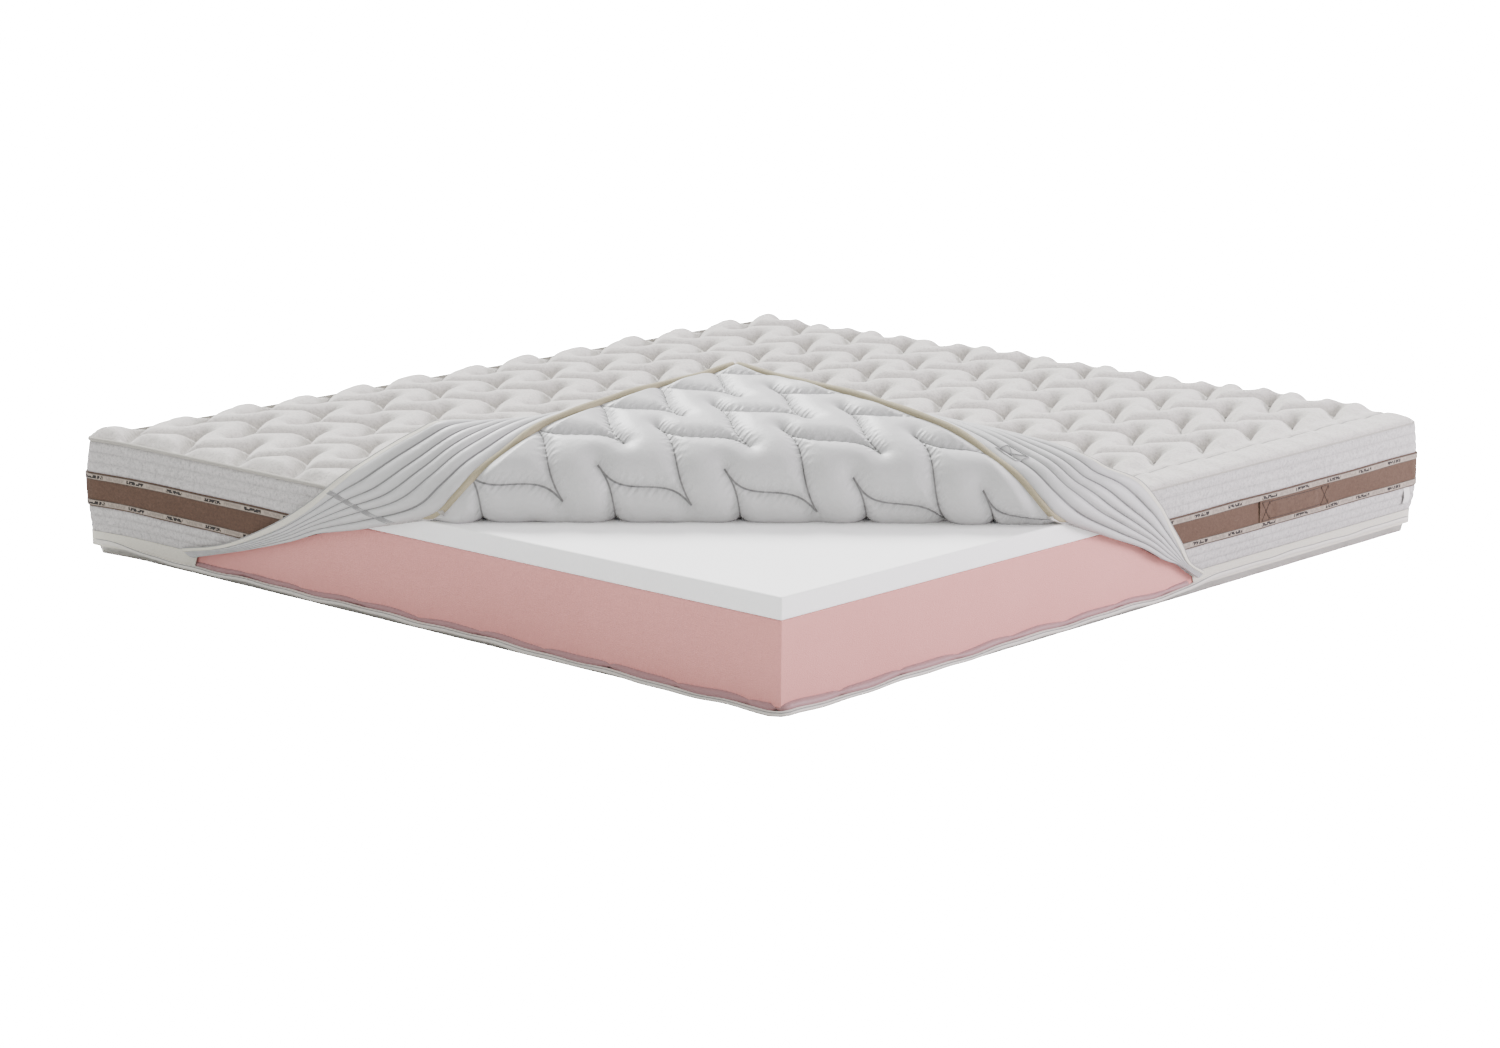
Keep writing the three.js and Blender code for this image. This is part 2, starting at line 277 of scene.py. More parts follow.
def stitch_cell(samples=164):
    """For one repeat of the quilt: the distance to the nearest stitch, and where along it that is."""
    left, right = stitch_curves()
    line = np.concatenate([left, right])
    place = np.concatenate([np.linspace(0, 0.187, 90), 0.4 + np.linspace(0, 0.18, 90)])
    shifts = [np.array([i * PITCH_X, j * PITCH_Y]) for i in (-1, 0, 1, 2) for j in (-1, 0, 1)]
    points = np.concatenate([line + shift for shift in shifts])
    places = np.tile(place, len(shifts))
    x, y = np.meshgrid(np.arange(samples) / samples * PITCH_X, np.arange(samples) / samples * PITCH_Y)
    distance = np.empty(x.shape)
    along = np.empty(x.shape)
    for row in range(samples):
        gap = np.hypot(x[row][:, None] - points[:, 0], y[row][:, None] - points[:, 1])
        nearest = gap.argmin(1)
        distance[row] = gap[np.arange(samples), nearest]
        along[row] = places[nearest]
    return distance, along


CELL_DISTANCE, CELL_PLACE = stitch_cell()


def from_cell(cell, x, y, blend=True):
    """The repeating cell read at flat places x, y, with straight-line blending between samples."""
    samples = cell.shape[0]
    u = ((x - STITCH_ORIGIN[0]) / PITCH_X % 1) * samples
    v = ((y - STITCH_ORIGIN[1]) / PITCH_Y % 1) * samples
    i, j = np.floor(u).astype(int), np.floor(v).astype(int)
    if not blend:
        return cell[j % samples, i % samples]
    fu, fv = u - i, v - j
    near = cell[j % samples, i % samples] * (1 - fu) + cell[j % samples, (i + 1) % samples] * fu
    far = cell[(j + 1) % samples, i % samples] * (1 - fu) + cell[(j + 1) % samples, (i + 1) % samples] * fu
    return near * (1 - fv) + far * fv


def waver(x, y):
    """A slow wander of the stitched lines, a few millimetres, from sums of sine waves."""
    dx = 0.004 * np.sin(5.1 * x + 3.7 * y) + 0.003 * np.sin(11.3 * y - 4.1 * x + 1.0)
    dy = 0.004 * np.sin(4.3 * y - 5.9 * x + 2.0) + 0.003 * np.sin(9.7 * x + 6.1 * y)
    return dx, dy


def quilt_marks(x, y):
    """Flat places counted in quilt pitches, for the stitch lines of the materials."""
    dx, dy = waver(x, y)
    return {"quilt_across": (x + dx - STITCH_ORIGIN[0]) / PITCH_X + 20.5,
            "quilt_along": (y + dy - STITCH_ORIGIN[1]) / PITCH_Y + 20}


def quilt(x, y, puff, reach=0.040, pucker=0.0005):
    """Height of the quilting at a flat place: a dome, the power 0.6 of a sine of the distance, that
    rises from each stitch to puff, with small puckers across the stitch that fade away from it."""
    dx, dy = waver(x, y)
    distance = from_cell(CELL_DISTANCE, x + dx, y + dy)
    place = from_cell(CELL_PLACE, x + dx, y + dy, blend=False)
    dome = puff * np.sin(np.pi / 2 * np.clip(distance / reach, 0, 1)) ** 0.6
    uneven = 1 + 0.10 * np.sin(13 * x + 7 * y) * np.sin(9 * y - 5 * x + 1.3)
    fade = np.exp(-((distance - 0.010) / 0.011) ** 2)
    folds = np.sin(2 * np.pi * place / 0.0145) + 0.6 * np.sin(2 * np.pi * place / 0.0093 + 1)
    return dome * uneven + pucker * folds * fade


# ---------------------------------------------------------------- materials
def node(tree, kind, inputs=None, **settings):
    """One shader node with its settings, and its inputs linked or set."""
    made = tree.nodes.new(kind)
    for key, value in settings.items():
        setattr(made, key, value)
    for key, value in (inputs or {}).items():
        value = value.socket if isinstance(value, Number) else value
        if isinstance(value, bpy.types.NodeSocket):
            tree.links.new(value, made.inputs[key])
        else:
            made.inputs[key].default_value = value
    return made


class Number:
    """A number worked out by shader nodes: Python's operators on it add math nodes to its tree."""

    def __init__(self, tree, socket):
        self.tree = tree
        self.socket = socket

    def math(self, operation, *others):
        inputs = dict(enumerate((self, *others)))
        return Number(self.tree, node(self.tree, "ShaderNodeMath", inputs, operation=operation).outputs[0])

    def __add__(self, other):
        return self.math("ADD", other)

    def __sub__(self, other):
        return self.math("SUBTRACT", other)

    def __mul__(self, other):
        return self.math("MULTIPLY", other)

    def ramp(self, low, high, out_low=0.0, out_high=1.0):
        """low..high mapped to out_low..out_high, and held at both ends."""
        inputs = {"Value": self, "From Min": low, "From Max": high, "To Min": out_low, "To Max": out_high}
        return Number(self.tree, node(self.tree, "ShaderNodeMapRange", inputs).outputs[0])

    def from_middle(self):
        """Distance of the number's fraction from one half."""
        return (self.math("FRACT") - 0.5).math("ABSOLUTE")


class Finish:
    """A Principled material in the making: its constants stand on the shader's own sockets, and
    colours are painted over each other before finished() links the last of them."""

    def __init__(self, name, colour, roughness=0.9, metallic=0.0, sheen=0.0):
        self.material = bpy.data.materials.new(name)
        self.material.use_nodes = True
        self.tree = self.material.node_tree
        self.shader = self.tree.nodes["Principled BSDF"]
        self.colour = colour
        self.painted = (*colour, 1)
        self.shader.inputs["Base Color"].default_value = (*colour, 1)
        self.shader.inputs["Roughness"].default_value = roughness
        self.shader.inputs["Metallic"].default_value = metallic
        self.shader.inputs["Specular IOR Level"].default_value = 0.25
        if sheen:
            self.shader.inputs["Sheen Weight"].default_value = sheen
            self.shader.inputs["Sheen Roughness"].default_value = 0.5
        self.place = node(self.tree, "ShaderNodeTexCoord").outputs["Object"]

    def noise(self, scale, detail=3.0, rough=0.6, place=None):
        inputs = {"Vector": place or self.place, "Scale": scale, "Detail": detail, "Roughness": rough}
        return Number(self.tree, node(self.tree, "ShaderNodeTexNoise", inputs).outputs["Fac"])

    def cells(self, scale, place=None):
        made = node(self.tree, "ShaderNodeTexVoronoi", {"Vector": place or self.place, "Scale": scale})
        return Number(self.tree, made.outputs["Distance"])

    def attribute(self, name):
        made = node(self.tree, "ShaderNodeAttribute", attribute_name=name)
        return Number(self.tree, made.outputs["Fac"])

    def paint(self, factor, colour):
        """Cover what is painted so far with a colour, as much as factor says."""
        inputs = {0: factor, 6: self.painted, 7: (*colour, 1)}
        self.painted = node(self.tree, "ShaderNodeMix", inputs, data_type="RGBA").outputs[2]

    def shade(self, factor, share):
        """Cover it with the material's own colour times share."""
        self.paint(factor, tuple(share * part for part in self.colour))

    def finished(self, height, strength, distance):
        """Link the painted colour and a bump from the height, and hand over the material."""
        if isinstance(self.painted, bpy.types.NodeSocket):
            self.tree.links.new(self.painted, self.shader.inputs["Base Color"])
        inputs = {"Height": height, "Strength": strength, "Distance": distance}
        bumped = node(self.tree, "ShaderNodeBump", inputs)
        self.tree.links.new(bumped.outputs["Normal"], self.shader.inputs["Normal"])
        return self.material


def sewn_lines(cloth):
    """Distance to the nearest sewn line, in metres, and small gathers across the quilt stitches.

    The quilt's curves are those of stitch_curves; channel counts straight channels and margin is
    the distance from the right side, where the stitches stop and whose seam lies at RIGHT_SEAM.
    A piece that lacks an attribute reads zero there and gets no line.
    """
    across, rise = cloth.attribute("quilt_across"), cloth.attribute("quilt_along")
    v = rise.math("FRACT")
    whole, half = (v * (2 * np.pi)).math("SINE"), (v * np.pi).math("SINE")
    gaps = []
    for lean, swing, bow in STITCHES:
        curve = v * (lean / PITCH_X) + whole * (swing / PITCH_X) + half * (bow / PITCH_X)
        gaps.append((across - curve).from_middle() * (STITCH_SLANT * PITCH_X))
    margin = cloth.attribute("margin")
    beyond = margin.ramp(PLAIN_MARGIN, PLAIN_MARGIN + 0.01, 0.05, 0.0)
    plain = beyond * margin.math("GREATER_THAN", 0.0001)
    quilted = gaps[0].math("MINIMUM", gaps[1]) + plain
    seam = (margin - RIGHT_SEAM).math("ABSOLUTE") * 0.6
    channel = cloth.attribute("channel").from_middle() * CHANNEL
    near = quilted.math("MINIMUM", seam).math("MINIMUM", channel)
    ripple = (rise * (2 * np.pi * 12.5)).math("SINE")
    second = (rise * (2 * np.pi * 19.3)).math("SINE")
    return near, (ripple + second * 0.7) * quilted.ramp(0.020, 0.003)


def knit_weave(cloth, pitch):
    """Knitted loops: cells a loop's pitch across, on object places that a coarser noise moves about."""
    wobble = node(cloth.tree, "ShaderNodeTexNoise", {"Vector": cloth.place, "Scale": 90.0, "Detail": 1.0})
    small = {0: wobble.outputs["Color"], 1: (0.002, 0.002, 0.002)}
    shift = node(cloth.tree, "ShaderNodeVectorMath", small, operation="MULTIPLY")
    moved = node(cloth.tree, "ShaderNodeVectorMath", {0: cloth.place, 1: shift.outputs[0]}, operation="ADD")
    return cloth.cells(1 / pitch, moved.outputs[0])


def heather_knit(name, colour, fleck, pitch=0.0022, line=0.75, gather=0.6, sheen=0.12):
    """Melange knit: darker flecks of yarn, slow patches, loop bump, dark sewn lines and painted shade in the
    valleys beside them.
    """
    cloth = Finish(name, colour, 0.92, sheen=sheen)
    cloth.paint(cloth.noise(150.0, 6.0, 0.85).ramp(0.36, 0.56, 1.0, 0.0), fleck)
    cloth.shade(cloth.noise(14.0, 3.0, 0.55).ramp(0.3, 0.7, 0.0, 0.35), 0.93)
    near, gathers = sewn_lines(cloth)
    # Painted shade: darker within a centimetre of each sewn line, where the quilting dips.
    cloth.shade(near.ramp(0.010, 0.001, 0.0, 0.22), 0.60)
    cloth.shade(near.ramp(0.0019, 0.0008, 0.0, line), 0.22)
    height = knit_weave(cloth, pitch) * 0.9 + cloth.noise(420.0, 3.0, 0.6) * 0.6
    height = height + gathers * gather + near.ramp(0.0, 0.004, 0.0, 1.5)
    return cloth.finished(height, 0.45, 0.0012)


def lining_cloth(name, colour):
    """Smooth lining with a soft shine: creases, a faint fibre mottle, dark sewn lines and painted shade in
    the valleys beside them.
    """
    cloth = Finish(name, colour, 0.46, sheen=0.08)
    fibre = cloth.noise(380.0, 4.0, 0.7)
    cloth.shade(cloth.noise(9.0, 3.0, 0.5).ramp(0.3, 0.75, 0.0, 0.5), 0.94)
    cloth.shade(fibre.ramp(0.35, 0.7, 0.0, 0.18), 0.86)
    near, gathers = sewn_lines(cloth)
    # Painted shade: darker within a centimetre of each sewn line, where the puffs dip to the stitches.
    cloth.shade(near.ramp(0.012, 0.001, 0.0, 0.25), 0.62)
    cloth.shade(near.ramp(0.0023, 0.0010, 0.0, 0.85), 0.26)
    height = cloth.noise(34.0, 5.0, 0.62) * 1.5 + fibre * 0.2
    height = height + gathers * 0.80 + near.ramp(0.0, 0.004, 0.0, 0.8)
    return cloth.finished(height, 0.40, 0.0025)


def foam_material(name, colour, deep, pore):
    """Open-cell foam: fine pores at two sizes with a slight drift of colour."""
    foam = Finish(name, colour, 0.95, sheen=0.08)
    grain = foam.noise(700.0, 4.0, 0.75)
    foam.paint(foam.noise(5.0, 3.0, 0.5).ramp(0.3, 0.7, 0.0, 0.45), deep)
    foam.paint(grain.ramp(0.30, 0.52, pore, 0.0), tuple(0.72 * part for part in deep))
    return foam.finished(grain * 0.7 + foam.cells(620.0), 0.30, 0.0009)


def woven_tape(name, colour, pitch=0.0011, roughness=0.8):
    """Flat woven tape: threads a pitch across that change a little in colour and height."""
    tape = Finish(name, colour, roughness, sheen=0.05)
    thread = tape.noise(1 / pitch, 2.0, 0.5)
    tape.shade(thread.ramp(0.35, 0.65, 1.0, 0.0), 0.80)
    return tape.finished(thread, 0.5, 0.0008)


def patterned_ribbon(name, ground, dark):
    """Woven ribbon: dark edges, and along its middle groups of uneven flecks, strong and faint by turns.

    It reads the piece's run attribute, in metres along it, and rise, 0 to 1 across it.
    """
    group = 0.0575
    ribbon = Finish(name, ground, 0.7, sheen=0.05)
    run, rise = ribbon.attribute("run"), ribbon.attribute("rise")
    off_middle = (rise - 0.5).math("ABSOLUTE")
    place = node(ribbon.tree, "ShaderNodeCombineXYZ", {0: run * 230.0, 1: rise * 2.2}).outputs[0]
    flecks = ribbon.noise(1.0, 0.0, 0.5, place).math("GREATER_THAN", 0.42)
    grouped = (run * (1 / group)).from_middle().math("LESS_THAN", 0.43)
    second = (run * (0.5 / group)).math("FRACT").math("GREATER_THAN", 0.5)
    ink = flecks * off_middle.math("LESS_THAN", 0.28) * grouped * second.ramp(0.0, 1.0, 0.28, 1.0)
    edge = off_middle.math("GREATER_THAN", 0.39)
    thread = ribbon.noise(900.0, 2.0, 0.5)
    ribbon.shade(thread.ramp(0.35, 0.65, 0.0, 0.5), 0.8)
    ribbon.paint((edge * 0.75).math("MAXIMUM", ink), dark)
    return ribbon.finished(thread + ink, 0.4, 0.0008)


def brushed_metal(name, colour):
    metal = Finish(name, colour, 0.34, metallic=1.0)
    scratch = metal.noise(700.0, 2.0, 0.5)
    metal.tree.links.new(scratch.ramp(0.3, 0.7, 0.28, 0.45).socket, metal.shader.inputs["Roughness"])
    return metal.finished(scratch, 0.1, 0.0002)


KNIT = heather_knit("grey melange knit", (0.56, 0.535, 0.505), (0.36, 0.34, 0.32))
BORDER_KNIT = heather_knit("border melange knit", (0.50, 0.485, 0.475), (0.25, 0.24, 0.235), 0.0019, 0.15)
BROWN_KNIT = heather_knit("taupe band knit", (0.093, 0.056, 0.039), (0.070, 0.042, 0.029), 0.0018,
                          sheen=0.0)
LINING = lining_cloth("white quilt lining", (0.465, 0.465, 0.462))
TRAY_LINING = lining_cloth("cream tray lining", (0.60, 0.58, 0.53))
# The cream tray lining painted dark mauve for its puffs: painted shade under the pink foam, with painted
# pink bounce light.
TRAY_LINING_PAINTED_SHADE = lining_cloth("tray puffs in painted shade", (0.30, 0.165, 0.170))
PINK_FOAM = foam_material("pink foam", (0.640, 0.280, 0.258), (0.575, 0.242, 0.220), 0.30)
WHITE_FOAM = foam_material("white memory foam", (0.93, 0.93, 0.92), (0.91, 0.91, 0.90), 0.08)
BINDING = woven_tape("beige binding tape", (0.33, 0.29, 0.19))
SEAM_BINDING = woven_tape("grey seam binding", (0.36, 0.345, 0.31))
CREAM_TAPE = woven_tape("cream zip tape", (0.62, 0.60, 0.52))
COIL = woven_tape("grey zip coil", (0.27, 0.27, 0.26), 0.0018, 0.5)
RIBBON = patterned_ribbon("patterned ribbon", (0.31, 0.26, 0.215), (0.012, 0.009, 0.008))
STRAP = heather_knit("taupe handle webbing", (0.098, 0.060, 0.042), (0.066, 0.040, 0.028), 0.0016,
                     sheen=0.0)
LABEL_CLOTH = woven_tape("white label tape", (0.70, 0.69, 0.67), 0.0009)
SEWING_THREAD = woven_tape("grey sewing thread", (0.30, 0.30, 0.30), 0.0009)
DARK_THREAD = woven_tape("dark brown thread", (0.045, 0.028, 0.020), 0.0009)
NICKEL = brushed_metal("nickel plate", (0.60, 0.59, 0.57))


# ---------------------------------------------------------------- camera, light and floor
SKY_SEEN, SKY_LIGHT = 30.0, 1.32
KEY_STRENGTH = 9.8
FILL_POWER = 400
FLOOR_SEEN = 34.0


def add_camera():
    """A long lens near the mattress's height, square to nothing: aimed by azimuth, elevation, roll."""
    azimuth, elevation, roll = np.radians([-48.592, 12.566, 0.497])
    back = np.array([np.cos(elevation) * np.cos(azimuth), np.cos(elevation) * np.sin(azimuth),
                     np.sin(elevation)])
    level = np.cross([0, 0, 1], back)
    level /= np.linalg.norm(level)
    high = np.cross(back, level)
    right = np.cos(roll) * level + np.sin(roll) * high
    up = -np.sin(roll) * level + np.cos(roll) * high
    data = bpy.data.cameras.new("camera")
    data.lens = 84.63
    data.sensor_width = 36
    camera = bpy.data.objects.new("camera", data)
    matrix = np.eye(4)
    matrix[:3, 0], matrix[:3, 1], matrix[:3, 2] = right, up, back
    matrix[:3, 3] = (4.5732, -5.2467, 1.5871)
    camera.matrix_world = Matrix(matrix.tolist())
    bpy.context.scene.collection.objects.link(camera)
    bpy.context.scene.camera = camera


def aimed(lamp, way):
    """Turn a lamp so that its light travels along a direction."""
    lamp.rotation_mode = "QUATERNION"
    lamp.rotation_quaternion = Vector(way).to_track_quat("-Z", "Y")
    bpy.context.scene.collection.objects.link(lamp)


def add_sun(name, source, strength, softness):
    data = bpy.data.lights.new(name, "SUN")
    data.energy = strength
    data.angle = np.radians(softness)
    aimed(bpy.data.objects.new(name, data), [-part for part in source])


def add_soft_box(name, place, target, size, power, colour=(1, 1, 1)):
    data = bpy.data.lights.new(name, "AREA")
    data.shape = "DISK"
    data.size = size
    data.energy = power
    data.color = colour
    lamp = bpy.data.objects.new(name, data)
    lamp.location = place
    aimed(lamp, np.array(target) - np.array(place))


def show_both(tree, share, lit, seen, output):
    """The output takes one shader for light paths, and share of another where the camera looks."""
    eye = Number(tree, node(tree, "ShaderNodeLightPath").outputs["Is Camera Ray"])
    both = node(tree, "ShaderNodeMixShader", {0: eye * share, 1: lit.outputs[0], 2: seen.outputs[0]})
    tree.links.new(both.outputs[0], tree.nodes[output].inputs["Surface"])


def add_studio():
    """White surroundings that look brighter than they light, a soft key from behind on the left, and
    a weak fill on the side that faces the camera's right."""
    world = bpy.data.worlds.new("studio")
    world.use_nodes = True
    tree = world.node_tree
    seen = tree.nodes["Background"]
    seen.inputs["Color"].default_value = (1.0, 1.0, 1.0, 1)
    seen.inputs["Strength"].default_value = SKY_SEEN
    lighting = node(tree, "ShaderNodeBackground", {"Color": (1.0, 1.0, 1.0, 1), "Strength": SKY_LIGHT})
    show_both(tree, 1.0, lighting, seen, "World Output")
    bpy.context.scene.world = world
    add_sun("key", (-0.85, 0.40, 0.80), KEY_STRENGTH, 24)
    add_soft_box("fill", (4.6, 2.8, 1.5), (0.8, 0.0, 0.1), 2.5, FILL_POWER, (1.0, 0.91, 1.02))
    floor = Finish("pale floor", (0.62, 0.62, 0.62), 0.9)
    glow = node(floor.tree, "ShaderNodeEmission", {"Color": (1.0, 1.0, 1.0, 1), "Strength": FLOOR_SEEN})
    show_both(floor.tree, 0.90, floor.shader, glow, "Material Output")
    size = 40.0
    verts = np.array([[-size, -size, 0], [size, -size, 0], [size, size, 0], [-size, size, 0]])
    add_piece("floor", verts, [[0, 1, 2, 3]], floor.material)


# ---------------------------------------------------------------- foam core
def foam_block(name, low, high, material, soften):
    """A cut foam block: a rounded box whose edges are softened.

    The outline is a rounded rectangle; the profile runs up its side with a small arc at both edges.
    """
    outline = closed_outline(low[0], low[1], 0.027)
    middle = np.array([(low[0] + high[0]) / 2, (low[1] + high[1]) / 2])
    turn = np.array([0.0, 0.15, 0.5, 0.85, 1.0]) * np.pi / 2
    rise, inset = soften * (1 - np.cos(turn)), soften * (1 - np.sin(turn))
    straight = low[2] + soften + (high[2] - low[2] - 2 * soften) * np.linspace(0.08, 0.92, 8)
    levels = np.concatenate([low[2] + rise, straight, high[2] - rise[::-1]])
    insets = np.concatenate([inset, 0 * straight, inset[::-1]])
    span = np.abs(outline - middle)
    shrink = 1 - insets[:, None, None] / np.maximum(span, 0.2)[None]
    plan = middle + (outline - middle)[None] * shrink
    verts = np.concatenate([plan, np.broadcast_to(levels[:, None, None], (*plan.shape[:2], 1))], 2)
    return add_rings(name, verts, material, crease=50)


def corner_arc(x, y, radius, quarter, steps=8):
    """A quarter of a circle round x, y, anticlockwise from the given quarter turn."""
    turn = (quarter + np.linspace(0, 1, steps + 1)) * np.pi / 2
    return np.stack([x + radius * np.cos(turn), y + radius * np.sin(turn)], -1)


def loosen(plan):
    """The cover stands a little off the foam at its left front corner: a bell-shaped push outwards."""
    gap = np.hypot(plan[..., 0] + HALF_X, plan[..., 1] + HALF_Y)
    push = 0.014 * np.exp(-(gap / 0.07) ** 2)
    return plan - push[..., None]


def closed_outline(low_x, low_y, radius, near_radius=0.002, step=None):
    """The plan outline, anticlockwise from the near corner: three round corners, the near one sharp."""
    x, y = abs(low_x), abs(low_y)
    parts = [corner_arc(x - near_radius, -y + near_radius, near_radius, 3, 4),
             corner_arc(x - radius, y - radius, radius, 0),
             corner_arc(-x + radius, y - radius, radius, 1),
             corner_arc(-x + radius, -y + radius, radius, 2)]
    outline = np.concatenate(parts)
    if step is None:
        return outline
    return even_steps(np.concatenate([outline, outline[:1]]), step)[:-1]


def even_steps(path, step):
    """The same path with points at even spacing close to step."""
    length = run_along(path)
    count = max(int(round(length[-1] / step)), 2) + 1
    at = np.linspace(0, length[-1], count)
    return np.stack([np.interp(at, length, path[:, k]) for k in range(path.shape[1])], -1)


def add_foam_core():
    base = foam_block("base_foam_block", FOAM_LOW, FOAM_HIGH, PINK_FOAM, 0.0025)
    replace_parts(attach(base, "mattress"), "base_foam")
    layer = foam_block("memory_foam_block", MEMORY_LOW, MEMORY_HIGH, WHITE_FOAM, 0.003)
    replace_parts(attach(layer, "mattress"), "memory_foam_layer")


# ---------------------------------------------------------------- top panel
TOP_VALLEY = CORE_TOP + 0.005
SEAM_LEVEL = STRIP_HIGH + 0.005
SHOULDER, ROUND_OFF = 0.026, 0.060


def towards_side(across, limit):
    """0 at the middle of the fold line and 1 at the mattress's sides, held at limit past them."""
    return np.clip(np.abs(across - FOLD_MIDDLE) / FOLD_REACH, 0, limit)


def fold_shift(across):
    """How far the fold line bends towards the near corner at its two ends."""
    return 0.042 * towards_side(across, 1.15) ** 4


def top_heights(x, y):
    """Level of the top panel: quilting over a flat base, which falls to the seam along the border.

    Along the right side the stitches stop short of a straight seam, and past the seam the cloth
    rounds off into the border on a quarter of an ellipse.
    """
    edge = np.minimum(PANEL_X - np.abs(x), PANEL_Y - np.abs(y))
    height = quilt(x, y, KNIT_PUFF)
    margin = PANEL_X - x
    plain = 1 - smooth((margin - 0.080) / 0.055)
    rumple = 0.0009 * np.sin(41 * x + 23 * y) + 0.0010 * np.sin(67 * y - 29 * x) + 0.0006 * np.sin(131 * y)
    height = height * (1 - plain) + (0.72 * KNIT_PUFF + rumple) * plain
    height -= 0.0022 * np.exp(-((margin - RIGHT_SEAM) / 0.005) ** 2)
    round_off = np.sqrt(np.clip(1 - (1 - np.clip(margin / ROUND_OFF, 0, 1)) ** 2, 0, 1))
    shoulder = smooth(edge / SHOULDER) ** 0.6
    others = smooth(np.minimum(PANEL_X + x, PANEL_Y - np.abs(y)) / SHOULDER) ** 0.6
    shoulder = np.where(x > 0, round_off * others, shoulder)
    seam_level = SEAM_LEVEL - 0.0045 * smooth((x - HALF_X + 0.10) / 0.05)
    return seam_level + (TOP_VALLEY + height - seam_level) * shoulder


def add_top_panel():
    """The lying part of the quilted top: rows across the width, each cut off at the fold line."""
    rows, columns = 400, 360
    y = np.linspace(-PANEL_Y, PANEL_Y, rows)
    corner = np.clip(np.abs(y) - (PANEL_Y - CORNER_RADIUS), 0, CORNER_RADIUS)
    reach = PANEL_X - CORNER_RADIUS + np.sqrt(CORNER_RADIUS ** 2 - corner ** 2 + 1e-12)
    fold_x = NEAR_CORNER[0] + ((y - NEAR_CORNER[1]) * INWARD[1] - FOLD_DISTANCE) / -INWARD[0]
    right = np.minimum(reach, np.maximum(fold_x, -PANEL_X + 0.1))
    near_right = y < NEAR_CORNER[1] + FOLD_DISTANCE / INWARD[1]
    right = np.where(near_right, right, reach)
    share = np.linspace(0, 1, columns)
    x = -reach[:, None] + (right + reach)[:, None] * share
    yy = np.broadcast_to(y[:, None], x.shape)
    plan = loosen(np.stack([x, yy], -1))
    verts = np.concatenate([plan, top_heights(x, yy)[..., None]], -1).reshape(-1, 3)
    rim = grid_rim(rows, columns)
    lower = verts[rim].copy()
    lower[:, 2] = CORE_TOP + 0.001
    start = len(verts)
    count = len(rim)
    ring = start + np.arange(count)
    wall = np.stack([rim, ring, np.roll(ring, -1), np.roll(rim, -1)], -1)
    quads = np.concatenate([grid_quads(rows, columns), wall])
    marks = {**quilt_marks(x, yy), "margin": np.maximum(PANEL_X - x, 0.001)}
    marks = {key: np.concatenate([some.ravel(), some.ravel()[rim]]) for key, some in marks.items()}
    verts = np.concatenate([verts, lower])
    panel = add_closed("quilted_top_panel", verts, quads, KNIT, marks, [ring[::-1]])
    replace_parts(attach(panel, "mattress"), "top_panel")


# ---------------------------------------------------------------- peeled corner
def roll_profile():
    """Run and rise of the roll for growing travel, both in roll sizes: the cloth's heading turns
    from level towards 173 degrees as 1 - exp(-u^1.256), summed in small steps."""
    u = np.linspace(0, 12, 4001)
    heading = np.radians(173) * (1 - np.exp(-u ** 1.256))
    middle = (heading[1:] + heading[:-1]) / 2
    run = np.concatenate([[0], np.cumsum(np.cos(middle) * np.diff(u))])
    rise = np.concatenate([[0], np.cumsum(np.sin(middle) * np.diff(u))])
    return u, run, rise


ROLL_U, ROLL_RUN, ROLL_RISE = roll_profile()


def roll_size(across):
    """The roll is tighter towards the two sides of the mattress than in its middle."""
    return 0.086 - 0.023 * towards_side(across, 1.1) ** 3


def left_reach(travel):
    return -(FOLD_DISTANCE - travel) * ALONG[0] / -INWARD[0]


def right_reach(travel):
    return (FOLD_DISTANCE - travel) * ALONG[1] / INWARD[1]


def peeled(travel, across):
    """The peeled corner's middle surface: from the fold line up and back round a roll, then nearly level.

    travel is the flat distance from the fold line and across the distance along it. Past the roll
    the bound edges curl up a little.
    """
    size = roll_size(across)
    shift = fold_shift(across)
    travel = travel - shift
    u = np.clip(travel / size, 0, 12)
    back = FOLD_DISTANCE - shift - np.interp(u, ROLL_U, ROLL_RUN) * size - np.minimum(travel, 0)
    height = np.interp(u, ROLL_U, ROLL_RISE) * size
    from_edge = np.minimum(across - left_reach(travel + shift), right_reach(travel + shift) - across)
    curl = np.exp(-np.maximum(from_edge, 0) * EDGE_SLANT / 0.030)
    lifted = smooth((travel - 0.13) / 0.12) * (1 - 0.7 * smooth((travel - 0.38) / 0.16))
    height = height + 0.013 * curl * lifted
    slide = across + FLAP_SLIDE * (np.clip(travel, 0, 1) / FOLD_DISTANCE) ** 1.5
    plan = NEAR_CORNER + back[..., None] * INWARD + slide[..., None] * ALONG
    return np.concatenate([plan, (CORE_TOP + 0.006 + QUILT_CORE / 2 + height)[..., None]], -1)


def flat_place(travel, across):
    """Where a point of the peeled corner lay on the flat panel before it was folded back."""
    plan = NEAR_CORNER + (FOLD_DISTANCE - travel)[..., None] * INWARD + across[..., None] * ALONG
    return plan[..., 0], plan[..., 1]


def follow_flap(piece):
    """Bake the piece's placement into its mesh."""
    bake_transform(piece)


